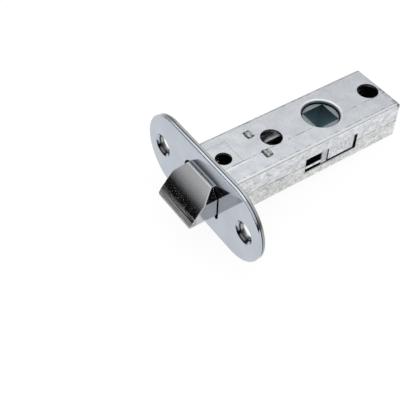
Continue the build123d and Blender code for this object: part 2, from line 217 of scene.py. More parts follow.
def scratches(tree, length, width, turn=(0.0, 0.0, 0.0), seed=0.0):
    """Noise drawn out along X, then turned: streaks of a length and a width in millimetres."""
    place = add_node(tree, "ShaderNodeTexCoord").outputs["Object"]
    inputs = {"Vector": place, "Rotation": turn, "Scale": (length * MM, width * MM, width * MM)}
    drawn = add_node(tree, "ShaderNodeMapping", inputs, vector_type="TEXTURE").outputs["Vector"]
    inputs = {"Vector": drawn, "W": seed, "Scale": 1.0, "Detail": 3.0}
    return add_node(tree, "ShaderNodeTexNoise", inputs, noise_dimensions="4D").outputs["Fac"]


def near_edges(tree, reach):
    """How near a sharp edge is, from 0 to 1, within a reach in millimetres.

    The rounded normal and the true normal agree on a flat and part beside an edge, so the mask is
    six times one less their dot product.
    """
    rounded = add_node(tree, "ShaderNodeBevel", {"Radius": reach * MM}, samples=6)
    true = add_node(tree, "ShaderNodeNewGeometry").outputs["Normal"]
    agree = add_node(tree, "ShaderNodeVectorMath", operation="DOT_PRODUCT")
    tree.links.new(rounded.outputs[0], agree.inputs[0])
    tree.links.new(true, agree.inputs[1])
    apart = calculate(tree, "SUBTRACT", 1.0, agree.outputs["Value"])
    return calculate(tree, "MULTIPLY", apart, 6.0)


def place_in_mm(tree):
    """The object's own x, y and z in millimetres."""
    place = add_node(tree, "ShaderNodeTexCoord").outputs["Object"]
    scaled = add_node(tree, "ShaderNodeVectorMath", {0: place, "Scale": 1.0 / MM}, operation="SCALE")
    return add_node(tree, "ShaderNodeSeparateXYZ", {"Vector": scaled.outputs[0]}).outputs


def distance(tree, value, centre=0.0):
    """|value - centre|, not clamped."""
    away = add_node(tree, "ShaderNodeMath", {0: value, 1: centre}, operation="SUBTRACT").outputs[0]
    return add_node(tree, "ShaderNodeMath", {0: away}, operation="ABSOLUTE").outputs[0]


def step(tree, value, off, on):
    """0 at off, 1 at on and beyond, and straight between them."""
    inputs = {"Value": value, "From Min": off, "From Max": on}
    return add_node(tree, "ShaderNodeMapRange", inputs).outputs[0]


def line(tree, value, centre, half_width):
    """1 on a line at the centre, gone at twice the half width."""
    return step(tree, distance(tree, value, centre), 2.0 * half_width, half_width)


def both(tree, *masks):
    """Where all the masks are on: their product."""
    joined = masks[0]
    for mask in masks[1:]:
        joined = calculate(tree, "MULTIPLY", joined, mask)
    return joined


def either(tree, first, second):
    """Where one mask or the other is on: the larger."""
    return calculate(tree, "MAXIMUM", first, second)


def radius_of(tree, place):
    """The length of (x, y), which for a place is its distance from the spindle's axis."""
    flat = add_node(tree, "ShaderNodeCombineXYZ", {"X": place["X"], "Y": place["Y"]})
    measured = add_node(tree, "ShaderNodeVectorMath", {0: flat.outputs[0]}, operation="LENGTH")
    return measured.outputs["Value"]


def towards(tree, place, bearing, off, on):
    """How far (x, y) reaches along a bearing, by their dot product: 0 at off and 1 at on."""
    flat = add_node(tree, "ShaderNodeCombineXYZ", {"X": place["X"], "Y": place["Y"]})
    inputs = {0: flat.outputs[0], 1: (*bearing, 0.0)}
    agree = add_node(tree, "ShaderNodeVectorMath", inputs, operation="DOT_PRODUCT")
    return step(tree, agree.outputs["Value"], off, on)


def relief(tree, shader, height, depth, round_edges=0.0, strength=1.0):
    """Bump from a height from 0 to 1, with its full depth in millimetres, over rounded edges."""
    inputs = {"Height": height, "Distance": depth * MM, "Strength": strength}
    if round_edges:
        rounded = add_node(tree, "ShaderNodeBevel", {"Radius": round_edges * MM}, samples=6)
        inputs["Normal"] = rounded.outputs[0]
    bump = add_node(tree, "ShaderNodeBump", inputs)
    tree.links.new(bump.outputs["Normal"], shader.inputs["Normal"])


print("patterns ready")

# %% [markdown]
# The case is cut and folded from sheet, and the press leaves its marks: fine lines where each bend
# begins, the joint of the two shells, and a line drawn along the top. Each mark is a mask, a value
# from 0 to 1 worked out from the place in millimetres, because noise can break a mask up and any
# colour can be laid through it.

# %% Press marks
CASE_Y, CASE_Z, REAR_X = 10.0, 6.9, -23.5
WINDOW_X, WINDOW_HALF = 3.1, 10.1


def fold_lines(tree, place):
    """Lines where the bends begin, at |y| = 8.9 on the flats and |z| = 5.75 on the sides."""
    across, up = distance(tree, place["Y"]), distance(tree, place["Z"])
    on_flat = both(tree, line(tree, across, CASE_Y - 1.1, 0.07), step(tree, up, 6.5, 6.7))
    on_side = both(tree, line(tree, up, CASE_Z - 1.15, 0.07), step(tree, across, 9.5, 9.8))
    return either(tree, on_flat, on_side)


def seam_line(tree, place):
    """The joint of the two shells: a wavering line at z = 0 that climbs over the locating lug."""
    climb = step(tree, place["X"], 27.4, 27.8)
    fall = step(tree, place["X"], 33.5, 29.1)
    lug = add_node(tree, "ShaderNodeMath", {0: climb, 1: fall}, operation="MINIMUM").outputs[0]
    waver = rescale(tree, patches(tree, 1.2, 4.0, seed=21.0), -0.35, 0.35)
    path = add_node(tree, "ShaderNodeMath", {0: lug, 1: waver}, operation="ADD").outputs[0]
    off = add_node(tree, "ShaderNodeMath", {0: place["Z"], 1: path}, operation="SUBTRACT").outputs[0]
    from_window = distance(tree, place["X"], WINDOW_X)
    clear_of_window = step(tree, from_window, WINDOW_HALF - 0.1, WINDOW_HALF + 0.1)
    side = step(tree, distance(tree, place["Y"]), 9.5, 9.8)
    return both(tree, line(tree, off, 0.0, 0.09), clear_of_window, side)


def drawn_line(tree, place, line_y):
    """A line along the top face at y = line_y."""
    return both(tree, line(tree, place["Y"], line_y, 0.08), step(tree, place["Z"], 6.6, 6.8))


def panel_highlight_strip(tree, place):
    """A painted highlight strip on the top beside the shallow panel, about x = 34.6 and y = 4.05."""
    along, across = line(tree, place["X"], 34.6, 3.0), line(tree, place["Y"], 4.05, 0.22)
    return both(tree, across, along, step(tree, place["Z"], 6.7, 6.8))


print("press marks ready")

# %% [markdown]
# Some places get a painted highlight, some a painted shade, and one keeps dirt. The outside of each
# bend and the rolled mouth of each collar get a painted highlight. Dirt lies at the rear corner of
# the top. The collars' bores and the whole inside get a painted shade, over the inside's darker bare
# steel, since they would otherwise look as lit through the holes as the outside does.


# %% Painted highlights, painted shade and dirt
def bend_and_mouth_highlights(tree, place):
    """Painted highlights: on the bends, with |y| over 9.5 and |z| over 6, and on the collars'
    mouths, at |z| over 6.3.
    """
    up = distance(tree, place["Z"])
    bend = both(tree, step(tree, up, 5.3, 6.0), step(tree, distance(tree, place["Y"]), 9.1, 9.5))
    mouth = both(tree, step(tree, radius_of(tree, place), 6.75, 6.50), step(tree, up, 6.15, 6.30))
    return either(tree, both(tree, bend, 0.8), both(tree, mouth, 0.35))


def rear_smudge(tree, place):
    """Patches of dirt on the top's near rear corner: x under -21.6, y over -3 and z over 5."""
    corner = both(
        tree,
        step(tree, place["X"], -21.6, -23.0),
        step(tree, place["Y"], -3.0, 0.0),
        step(tree, place["Z"], 5.0, 6.0),
    )
    return both(tree, corner, step(tree, patches(tree, 1.1, 4.0, seed=17.0), 0.42, 0.52), 0.85)


def inside_case(tree, place):
    """1 on the shells' inner faces and the window's cut edges: |y| under 9.9, |z| under 5.9.

    The rear flap's outer face, at x = -23.5, is left bright.
    """
    across = step(tree, distance(tree, place["Y"]), CASE_Y - 0.06, CASE_Y - 0.12)
    ahead = step(tree, place["X"], REAR_X + 0.06, REAR_X + 0.12)
    return both(tree, across, ahead, step(tree, distance(tree, place["Z"]), 5.95, 5.85))


def inside_collar(tree, place):
    """1 in the bore of the collars: within 6 of the spindle's axis, with |z| under 6."""
    bore = step(tree, radius_of(tree, place), 6.06, 6.00)
    return both(tree, bore, step(tree, distance(tree, place["Z"]), 6.05, 5.95))


print("bright and dirty places ready")

# %% [markdown]
# At the side window the press cut through both shells, and left a tongue and a post of the upper
# one standing in it. The lower edge and both sides of the post get a painted shade, the post a
# painted bluish grey shade, and the tongue is creased. The creases are too shallow to model, and
# all of these are laid on as colour.

# %% Side window
# Dark for the press lines and the seam, and for the painted shade round the window.
PRESS_MARK_AND_SHADE_DARK = (0.10, 0.11, 0.12)


def window_colour(tree, place, side, colour):
    """A colour with the window's marks on it, within 10.1 mm of x = 3.1 on the sides.

    They are a painted shade along the lower edge at z = -3.08 and down both sides of the post,
    at x = 4.95 and 6.95, a painted bluish grey shade on the post, and creases on the tongue, about
    x = -0.6.
    """
    x, z = place["X"], place["Z"]
    # Painted shade under the window's lower edge and down the post's sides.
    shade_under_edge = both(tree, line(tree, z, -3.08, 0.16), line(tree, x, 3.0, 10.0), 0.60)
    post_sides = either(tree, line(tree, x, 4.95, 0.10), line(tree, x, 6.95, 0.08))
    post_height = both(tree, step(tree, z, 2.6, 2.0), step(tree, z, -3.0, -2.8))
    shade = either(tree, shade_under_edge, both(tree, post_sides, post_height, 0.75))
    near_window = step(tree, distance(tree, x, WINDOW_X), WINDOW_HALF + 0.2, WINDOW_HALF)
    colour = blend_colours(tree, both(tree, shade, side, near_window), colour, PRESS_MARK_AND_SHADE_DARK)
    tall = both(tree, line(tree, z, 0.0, 2.0), side)
    # A painted bluish grey shade on the post.
    painted_shade_on_post = both(tree, tall, line(tree, x, 5.95, 0.75), 0.60)
    colour = blend_colours(tree, painted_shade_on_post, colour, (0.34, 0.37, 0.42))
    noise = patches(tree, 2.0, 4.0, seed=37.0)
    creases = ramp(tree, noise, (0.47, 1.0), (0.485, 0.20), (0.50, 0.20), (0.515, 1.0))
    on_tongue = both(tree, tall, line(tree, x, -0.6, 3.0), 0.75)
    return blend_colours(tree, on_tongue, colour, creases, "MULTIPLY")


print("window marks ready")

# %% [markdown]
# Fresh zinc is pale, slightly blue and only half shiny. Its colour is built up in layers: clouds of
# two tones, specks and scratches from handling, and on the sides a painted lighter tone, a crackle
# in the plating, fine wandering lines, a painted sheen and blotches.

# %% Zinc plating
# A near white for painted highlights: the sides' sheen, the bends and the collars' mouths.
PAINTED_HIGHLIGHT = (0.97, 0.98, 0.99)


def zinc_plating(tree, side, drawn, pale, dull, mottle):
    """The plating's colour, from a dull to a pale tone, with blotches by the amount of mottle."""
    clouds = ramp(tree, patches(tree, 4.0), (0.34, dull), (0.66, pale))
    # The sides get a painted lighter tone.
    painted_side_light = tuple(1.22 * level for level in pale)
    clouds = blend_colours(tree, both(tree, side, 0.75), clouds, painted_side_light)
    specks = ramp(tree, patches(tree, 0.40, 2.0, seed=3.0), (0.27, 0.45), (0.36, 1.0))
    turn = (0.0, 0.0, 0.7)
    crossed = ramp(tree, scratches(tree, 6.0, 0.07, turn, seed=5.0), (0.27, 0.60), (0.33, 1.0))
    vein = patches(tree, 1.3, 5.0, seed=11.0)
    crackle = ramp(tree, vein, (0.47, 1.0), (0.495, 0.45), (0.505, 0.45), (0.53, 1.0))
    path = patches(tree, 3.0, 3.0, seed=29.0)
    wandering = ramp(tree, path, (0.485, 1.0), (0.50, 0.35), (0.515, 1.0))
    colour = blend_colours(tree, 0.60, clouds, specks, "MULTIPLY")
    colour = blend_colours(tree, 0.45, colour, drawn, "MULTIPLY")
    colour = blend_colours(tree, 0.50, colour, crossed, "MULTIPLY")
    colour = blend_colours(tree, rescale(tree, side, 0.12, 0.50), colour, crackle, "MULTIPLY")
    colour = blend_colours(tree, rescale(tree, side, 0.10, 0.60), colour, wandering, "MULTIPLY")
    # A painted sheen in patches on the sides.
    sheen = step(tree, patches(tree, 2.6, 2.0, seed=31.0), 0.45, 0.68)
    colour = blend_colours(tree, both(tree, side, sheen, 0.55), colour, PAINTED_HIGHLIGHT)
    blotches = ramp(tree, patches(tree, 0.8, 3.0, seed=15.0), (0.35, 0.78), (0.60, 1.10))
    return blend_colours(tree, rescale(tree, side, 0.15, mottle), colour, blotches, "MULTIPLY")


print("zinc plating ready")

# %% [markdown]
# The finish of a shell is the plating, then the worn edges and the painted highlights on the bends
# and mouths, then the press marks, broken up by noise, then the window's marks, the dirt and the
# painted shade inside. The same marks are sunk into the relief. The upper shell is the bluer and
# smoother one, and it alone has the drawn line and the painted highlight strip by the panel.


# %% Zinc-plated sheet
def zinc_sheet(name, pale, dull, grain_depth, mottle, top_line=None):
    """Plated sheet steel with its marks. top_line is the y of the line drawn along the top."""
    material, tree, shader = start_material(name)
    place = place_in_mm(tree)
    side = step(tree, distance(tree, place["Y"]), 9.3, 9.9)
    drawn = ramp(tree, scratches(tree, 9.0, 0.10), (0.30, 0.80), (0.46, 1.0))
    colour = zinc_plating(tree, side, drawn, pale, dull, mottle)
    worn = calculate(tree, "MULTIPLY", near_edges(tree, 0.30), 0.35)
    colour = blend_colours(tree, worn, colour, (0.80, 0.81, 0.82))
    # Painted highlights on the outside of the bends and on the collars' mouths.
    colour = blend_colours(tree, bend_and_mouth_highlights(tree, place), colour, PAINTED_HIGHLIGHT)
    gaps = ramp(tree, patches(tree, 1.5, 3.0, seed=13.0), (0.42, 0.05), (0.58, 0.85))
    marks = fold_lines(tree, place)
    if top_line is not None:
        marks = either(tree, marks, drawn_line(tree, place, top_line))
    seam = both(tree, seam_line(tree, place), rescale(tree, gaps, 0.45, 1.0))
    marks = either(tree, both(tree, marks, gaps), seam)
    colour = blend_colours(tree, marks, colour, PRESS_MARK_AND_SHADE_DARK)
    # A painted highlight strip beside the panel on the top.
    if top_line is not None:
        strip = both(tree, panel_highlight_strip(tree, place), 0.28)
        colour = blend_colours(tree, strip, colour, (0.98, 0.99, 1.0))
    colour = window_colour(tree, place, side, colour)
    colour = blend_colours(tree, rear_smudge(tree, place), colour, (0.14, 0.14, 0.16))
    # The inside and the collars' bores get a near black painted shade, over the inside's darker bare
    # steel.
    bare_steel_and_shade = either(tree, inside_collar(tree, place), inside_case(tree, place))
    colour = blend_colours(tree, both(tree, bare_steel_and_shade, 0.93), colour, (0.012, 0.014, 0.016))
    tree.links.new(colour, shader.inputs["Base Color"])
    shine = rescale(tree, patches(tree, 2.5, seed=7.0), 0.30, 0.50)
    tree.links.new(shine, shader.inputs["Roughness"])
    shader.inputs["Metallic"].default_value = 1.0
    grain = calculate(tree, "ADD", patches(tree, 0.35, 5.0, seed=9.0), rescale(tree, drawn, 0.0, 0.4))
    grain = calculate(tree, "SUBTRACT", grain, rescale(tree, marks, 0.0, 0.6))
    relief(tree, shader, grain, grain_depth, 0.15, rescale(tree, side, 0.35, 1.0))
    return material


upper_pale, upper_dull = (0.62, 0.64, 0.66), (0.53, 0.55, 0.59)
lower_pale, lower_dull = (0.62, 0.63, 0.61), (0.51, 0.52, 0.50)
upper_zinc = zinc_sheet("upper_shell_zinc", upper_pale, upper_dull, 0.020, 0.3, top_line=3.45)
lower_zinc = zinc_sheet("lower_shell_zinc", lower_pale, lower_dull, 0.035, 0.8)
print("zinc finishes:", upper_zinc.name, lower_zinc.name)

# %% [markdown]
# The forend's cover is polished and chromed, a cold blue-grey mirror with hairline scratches. The
# plate behind it is plated but not polished, and dirt marks the joint between them. The bolt is
# nickel plated steel with fine pits that sparkle where the bevel reflects something dark. Its nose
# is brushed by use and its corners are worn bright. The countersinks get a painted shade on their
# lower walls, broken by their turning marks, so those come first.

# %% Countersinks
SCREW_Y, HOLE_RADIUS, SINK_RADIUS, COVER_FACE = 20.6, 2.3, 3.9, 44.0


def countersink_shade(tree, place):
    """Painted shade in the turning marks of both countersinks, on their walls' side towards
    (y, z) = (-0.5, -0.87).

    With d = (y - s, z) from a screw's axis, it lies where |d| is under 3.9 and d . (-0.5, -0.87)
    is over 2, and is full past 2.7, all in millimetres. It is thinner on two rings.
    """
    masks = []
    for screw_y in (-SCREW_Y, SCREW_Y):
        inputs = {0: place["Y"], 1: screw_y}
        across = add_node(tree, "ShaderNodeMath", inputs, operation="SUBTRACT").outputs[0]
        offset = {"X": across, "Y": place["Z"]}
        radius = radius_of(tree, offset)
        span = step(tree, radius, HOLE_RADIUS, SINK_RADIUS)
        marks = ramp(tree, span, (0.12, 1.0), (0.25, 0.35), (0.38, 1.0), (0.60, 0.45), (0.74, 1.0))
        low_side = towards(tree, offset, (-0.5, -0.87), 2.0, 2.7)
        within = step(tree, radius, SINK_RADIUS + 0.05, SINK_RADIUS - 0.10)
        below_face = step(tree, place["X"], COVER_FACE - 0.02, COVER_FACE - 0.08)
        masks.append(both(tree, low_side, within, below_face, marks))
    return either(tree, *masks)


print("countersink dirt ready")

# %% [markdown]
# One function makes all three plated finishes, since they differ in degree: how clear the mirror is,
# how deep the pits are, and how wide the worn edge. The dirt of a joint, with the countersinks'
# painted shade, and the brushed band are extras that a finish may ask for.


# %% Polished plate
def polished_plate(
    name, tone, haze, sheen, pits, edge=0.15, bright=0.4, joint=None, brushed=None
):
    """A plated mirror: clouds of tone, hairlines, haze in patches and pits in the relief.

    Roughness runs from haze to sheen. pits are a size and a depth in millimetres. joint is a
    station in x and the side of it, -1 or 1, on which the dirt of a joint lies, and with it comes
    the countersinks' painted shade. brushed is a pair of heights and a pair of stations in x
    between which a brushed band sets in, with its strokes along y, beside a sparkle of matt specks.
    """
    material, tree, shader = start_material(name)
    darker = tuple(0.90 * level for level in tone)
    clouds = ramp(tree, patches(tree, 8.0), (0.35, darker), (0.65, tone))
    worn = near_edges(tree, edge + 0.1)
    colour = blend_colours(tree, calculate(tree, "MULTIPLY", worn, bright), clouds, (0.85, 0.86, 0.88))
    place = place_in_mm(tree)
    if brushed:
        heights, stations = brushed
        band = both(tree, step(tree, place["Z"], *heights), step(tree, place["X"], *stations))
        strokes = scratches(tree, 14.0, 0.35, (0.0, 0.0, np.pi / 2), seed=23.0)
        streaks = ramp(tree, strokes, (0.42, 1.0), (0.47, 0.30), (0.50, 1.0), (0.56, 0.45), (0.60, 1.0))
        colour = blend_colours(tree, both(tree, band, 0.8), colour, streaks, "MULTIPLY")
    if joint:
        station, way = joint
        x = place["X"]
        # Dark joint dirt, with the countersinks' painted shade.
        dirt_and_shade = step(tree, x, station - 0.12 * way, station + 0.06 * way)
        dirt_and_shade = either(tree, dirt_and_shade, countersink_shade(tree, place))
        colour = blend_colours(tree, both(tree, dirt_and_shade, 0.95), colour, (0.015, 0.016, 0.020))
    tree.links.new(colour, shader.inputs["Base Color"])
    turn = (0.0, 0.9, 0.4)
    hairlines = ramp(tree, scratches(tree, 12.0, 0.05, turn, seed=2.0), (0.60, 0.0), (0.70, 1.0))
    roughness = rescale(tree, patches(tree, 3.0, seed=4.0), haze, sheen)
    roughness = calculate(tree, "ADD", roughness, rescale(tree, hairlines, 0.0, 0.10))
    if brushed:
        rubbed = ramp(tree, strokes, (0.43, 0.0), (0.49, 0.40), (0.52, 0.0), (0.57, 0.45))
        roughness = calculate(tree, "ADD", roughness, both(tree, band, rubbed))
        sparkle = step(tree, patches(tree, 0.32, 2.0, seed=25.0), 0.62, 0.70)
        roughness = calculate(tree, "ADD", roughness, both(tree, sparkle, 0.40))
    tree.links.new(roughness, shader.inputs["Roughness"])
    shader.inputs["Metallic"].default_value = 1.0
    size, depth = pits
    pitted = patches(tree, size, 3.0, seed=6.0)
    pitted = calculate(tree, "ADD", pitted, rescale(tree, hairlines, 0.0, 0.3))
    relief(tree, shader, pitted, depth, edge)
    return material


chrome_tone, plate_tone, nickel_tone = (0.50, 0.54, 0.60), (0.40, 0.41, 0.41), (0.54, 0.545, 0.56)
cover_chrome = polished_plate(
    "forend_cover_chrome", chrome_tone, 0.04, 0.10, (0.12, 0.0006), joint=(43.2, -1)
)
back_plate_bright = polished_plate(
    "forend_plate_bright", plate_tone, 0.22, 0.36, (0.12, 0.004), joint=(42.9, 1)
)
nose_band = ((-1.5, -1.9), (51.0, 51.6))
bolt_nickel = polished_plate(
    "bolt_nickel", nickel_tone, 0.03, 0.08, (0.28, 0.0065), 0.48, 1.0, brushed=nose_band
)
print("plated finishes:", cover_chrome.name, back_plate_bright.name, bolt_nickel.name)

# %% [markdown]
# The moving parts inside are plainer: pressed and sintered steel, turned pins and oiled spring wire.
# They are seen only through the holes and the side window, but each keeps its own tone. The
# follower's ends are bright from turning, and its socket, darker in the corners, and the rim that
# turns in the collar get a painted shade.


# %% Inner steels
def plain_steel(name, tone, roughness, grain_size, grain_depth, dirt_and_shade_places=None):
    """Unpolished steel: a mottled tone, patchy shine and a fine grain, and painted shade and dirt."""
    material, tree, shader = start_material(name)
    darker = tuple(0.70 * level for level in tone)
    mottle = ramp(tree, patches(tree, 1.6, seed=1.0), (0.30, darker), (0.70, tone))
    worn = near_edges(tree, 0.30)
    brighter = tuple(min(1.0, 1.4 * level) for level in tone)
    colour = blend_colours(tree, calculate(tree, "MULTIPLY", worn, 0.5), mottle, brighter)
    for mask, dirt_and_shade_tone in dirt_and_shade_places(tree) if dirt_and_shade_places else ():
        colour = blend_colours(tree, mask, colour, dirt_and_shade_tone)
    tree.links.new(colour, shader.inputs["Base Color"])
    shine = rescale(tree, patches(tree, 0.8, seed=8.0), roughness - 0.08, roughness + 0.10)
    tree.links.new(shine, shader.inputs["Roughness"])
    shader.inputs["Metallic"].default_value = 1.0
    relief(tree, shader, patches(tree, grain_size, 4.0), grain_depth, round_edges=0.12)
    return material


def follower_shade(tree):
    """The follower's painted shade: teal in its square socket, near black in its corners and rim."""
    place = place_in_mm(tree)
    across, along = distance(tree, place["X"]), distance(tree, place["Y"])
    # Painted shade in the socket, darker in its corners, and on the rim in the collar's gap.
    socket = both(tree, step(tree, across, 4.06, 4.01), step(tree, along, 4.06, 4.01))
    corner = both(tree, socket, step(tree, across, 3.6, 3.85), step(tree, along, 3.6, 3.85), 0.7)
    rim = step(tree, radius_of(tree, place), 5.50, 5.62)
    dark = (0.012, 0.016, 0.018)
    return (both(tree, socket, 0.96), (0.17, 0.25, 0.28)), (corner, dark), (rim, dark)


def stake_dirt_and_shade(tree):
    """Patchy dirt and painted shade on a staked lug: round its foot, |z| under 7.24, and thick past x =
    24.45.
    """
    place = place_in_mm(tree)
    up = distance(tree, place["Z"])
    # Patchy dirt with a painted shade round the foot and on the +X side.
    patchy = step(tree, patches(tree, 0.9, 3.0, seed=19.0), 0.40, 0.56)
    foot = both(tree, step(tree, up, 7.24, 7.02), rescale(tree, patchy, 0.50, 0.92))
    front = both(tree, step(tree, place["X"], 24.45, 25.0), rescale(tree, patchy, 0.45, 0.90))
    dirt_and_shade = (0.045, 0.047, 0.050)
    return (foot, dirt_and_shade), (front, dirt_and_shade)


finishes = {
    "case_upper": upper_zinc,
    "case_lower": lower_zinc,
    "forend_cover": cover_chrome,
    "forend_plate": back_plate_bright,
    "latch_bolt": bolt_nickel,
    "follower": plain_steel("follower_steel", (0.27, 0.30, 0.32), 0.36, 0.20, 0.006, follower_shade),
    "tail": plain_steel("tail_zinc", (0.68, 0.69, 0.70), 0.30, 0.30, 0.005),
    "seat": plain_steel("seat_zinc", (0.42, 0.42, 0.42), 0.42, 0.35, 0.020),
    "staked": plain_steel("staked_zinc", (0.47, 0.48, 0.49), 0.36, 0.30, 0.020, stake_dirt_and_shade),
    "plunger": plain_steel("plunger_zinc", (0.55, 0.55, 0.55), 0.40, 0.30, 0.006),
    "pin": plain_steel("pin_bright_steel", (0.40, 0.40, 0.40), 0.28, 0.25, 0.003),
    "rivet": plain_steel("rivet_steel", (0.40, 0.40, 0.41), 0.30, 0.25, 0.005),
    "washer": plain_steel("washer_steel", (0.32, 0.32, 0.33), 0.38, 0.25, 0.004),
    "wire": plain_steel("spring_wire_steel", (0.24, 0.24, 0.26), 0.32, 0.15, 0.003),
}
finish_of_node = {
    "case_upper": "case_upper",
    "case_lower": "case_lower",
    "forend_cover": "forend_cover",
    "forend_plate": "forend_plate",
    "latch_bolt": "latch_bolt",
    "follower": "follower",
    "follower_washer_upper": "washer",
    "follower_washer_lower": "washer",
    "tail_plate_upper": "tail",
    "tail_plate_lower": "tail",
    "tail_rivets": "rivet",
    "spring_seat": "seat",
    "spring_rod": "pin",
    "latch_spring": "wire",
    "return_plunger_near": "plunger",
    "return_plunger_far": "plunger",
    "return_spring_near": "wire",
    "return_spring_far": "wire",
    "return_pin_near": "pin",
    "return_pin_far": "pin",
}
for node_name, finish in finish_of_node.items():
    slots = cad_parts[node_name].material_slots
    for material_slot in slots:
        material_slot.material = finishes[finish]
print("finishes given to", len(finish_of_node), "pieces")

# %% [markdown]
# The solids carry each spring as a rough coil of straight lengths. A real compression spring is round
# wire on a helix, with its last turn at each end closed up to sit flat. The wire's centre runs round
# the axis at a steady rate, and its advance slows at both ends. A ring of points is carried along it.


# %% Springs
def spring_wire(name, start, end, centre_y, turns, coil_radius, wire_radius):
    """A compression spring along X between two stations, made as one closed tube.

    The centre is (x, y0 + R cos t, R sin t) with t from 0 to 2 pi turns. x advances slowly in the
    first and last turn, by a smooth step, and evenly between them. The tube's points are centre +
    r (cos v n + sin v b), where n points out from the axis and b = tangent x n.
    """
    steps_in_turn, sides = 40, 14
    steps = turns * steps_in_turn
    t = np.linspace(0.0, 2 * np.pi * turns, steps + 1)
    turns_in = np.minimum(t, t[-1] - t) / (2 * np.pi)
    opened = np.clip(turns_in - 0.5, 0.0, 1.0)
    opened = opened * opened * (3 - 2 * opened)
    free_length = end - start - 2 * wire_radius
    closed_rate = 2 * wire_radius / free_length
    rate = closed_rate + opened * (turns / (turns - 2.0) - closed_rate)
    travel = np.concatenate([[0.0], np.cumsum((rate[1:] + rate[:-1]) / 2)])
    x = start + wire_radius + free_length * travel / travel[-1]
    centre = np.column_stack([x, centre_y + coil_radius * np.cos(t), coil_radius * np.sin(t)])
    tangent = np.gradient(centre, axis=0)
    tangent /= np.linalg.norm(tangent, axis=1, keepdims=True)
    outward = np.column_stack([np.zeros_like(t), np.cos(t), np.sin(t)])
    sideways = np.cross(tangent, outward)
    v = np.linspace(0.0, 2 * np.pi, sides, endpoint=False)[None, :, None]
    ring = np.cos(v) * outward[:, None, :] + np.sin(v) * sideways[:, None, :]
    points = (centre[:, None, :] + wire_radius * ring).reshape(-1, 3)
    row = np.arange(steps)[:, None] * sides
    here = np.arange(sides)[None, :]
    beside = (here + 1) % sides
    quads = np.stack([row + here, row + beside, row + sides + beside, row + sides + here], -1)
    faces = quads.reshape(-1, 4).tolist()
    faces.append(list(range(sides))[::-1])
    faces.append((np.arange(sides) + steps * sides).tolist())
    made = mesh_object(name, points, faces)
    made.data.polygons.foreach_set("use_smooth", [len(face) == 4 for face in faces])
    made.data.materials.append(finishes["wire"])
    return made


def coil_of(node_name, turns, wire_radius, centre_y=0.0):
    """The round-wire spring that fills the box of a CAD spring."""
    low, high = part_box(node_name)
    coil_radius = (high.y - low.y) / 2 - wire_radius
    name = node_name + "_wire"
    made = spring_wire(name, low.x, high.x, centre_y, turns, coil_radius, wire_radius)
    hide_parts(node_name)
    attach(made, "case")
    return made


latch_coil = coil_of("latch_spring", 9, 0.4 * MM)
return_y = (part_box("return_pin_near")[0].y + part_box("return_pin_near")[1].y) / 2
near_coil = coil_of("return_spring_near", 6, 0.25 * MM, return_y)
far_coil = coil_of("return_spring_far", 6, 0.25 * MM, -return_y)
print("springs:", latch_coil.name, near_coil.name, far_coil.name)

# %% [markdown]
# Each spring has one end that stays and one that its moving piece presses. Here each spring is only
# given its own copy of its mesh.


def shorten(coil):
    """Gives a spring its own copy of its mesh."""
    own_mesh(coil)


shorten(latch_coil)
shorten(near_coil)
shorten(far_coil)

# %% [markdown]
# The spring seat's four lugs come up through the shells and are staked: a blow with a blunt chisel
# spreads each end over its slot. The swollen end is a low rounded block with the chisel's groove
# across it, one block at each slot, above and below.


# %% Staked lugs
def staked_lug(name, centre_x, centre_y, side):
    """A staked end on the top or bottom shell, as a closed block of rings of points.

    The outline is the superellipse |x / a|^3 + |y / b|^3 = 1. Over it the height is h (1 - r^3) for
    a ring at the share r of the outline, less a groove g exp(-(u / w)^2) with u the distance from a
    slanting line, and a sine or two makes it uneven. The last ring is sunk in the sheet, and a flat
    face closes it.
    """
    half_x, half_y, height, groove, sunk = 1.45, 1.80, 0.60, 0.34, 0.30
    rings, sides = 12, 40
    share = np.linspace(0.08, 1.0, rings)[:, None]
    angle = np.linspace(0.0, 2 * np.pi, sides, endpoint=False)[None, :]
    run, rise = np.cos(angle), np.sin(angle)
    uneven = 0.95 + 0.05 * np.sin(3 * angle + centre_y) + 0.04 * np.sin(5 * angle + side)
    x = half_x * share * np.sign(run) * np.abs(run) ** (2 / 3) * uneven
    y = half_y * share * np.sign(rise) * np.abs(rise) ** (2 / 3) * uneven
    top = height * (1 - share**3) - groove * np.exp(-(((x + 0.35 + 0.1 * y) / 0.24) ** 2))
    top = np.maximum(top, 0.04) * (1 + 0.25 * np.sin(3 * y + centre_y) * np.cos(2 * x))
    z = CASE_Z + np.where(share > 0.99, -sunk, top)
    block = np.stack([x + centre_x, y + centre_y, side * z], -1).reshape(-1, 3)
    points = np.vstack([block, block[:sides].mean(axis=0)])
    row, here = np.arange(rings - 1)[:, None] * sides, np.arange(sides)[None, :]
    beside = (here + 1) % sides
    quads = np.stack([row + here, row + sides + here, row + sides + beside, row + beside], -1)
    faces = quads.reshape(-1, 4).tolist()
    faces += [[len(points) - 1, first, (first + 1) % sides] for first in range(sides)]
    faces.append(list(range((rings - 1) * sides, rings * sides))[::-1])
    if side < 0:
        faces = [face[::-1] for face in faces]
    made = mesh_object(name, points * MM, faces)
    made.data.polygons.foreach_set("use_smooth", [len(face) < 5 for face in faces])
    made.data.materials.append(finishes["staked"])
    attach(made, "case")
    return made


SEAT_X = sum(corner.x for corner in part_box("spring_seat")) / 2 / MM
LUG_Y = 4.6
for shell, side in (("top", 1), ("bottom", -1)):
    for way, lug_y in (("near", LUG_Y), ("far", -LUG_Y)):
        staked_lug(f"staked_lug_{shell}_{way}", SEAT_X, lug_y, side)
print("four staked lugs at x", round(SEAT_X, 2), "mm")

# %% [markdown]
# The table is white paper lit from above. To the camera, and in the metal's reflections, most of its
# brightness is its own, so it comes out white, and the rest is lit, so that a soft shadow stays.
# A photographer lays a black card in front of polished metal to give it contrast. Here the card is
# a patch of the table's finish that only mirrored rays meet, and it darkens the bevel's mirror
# image in the forend.


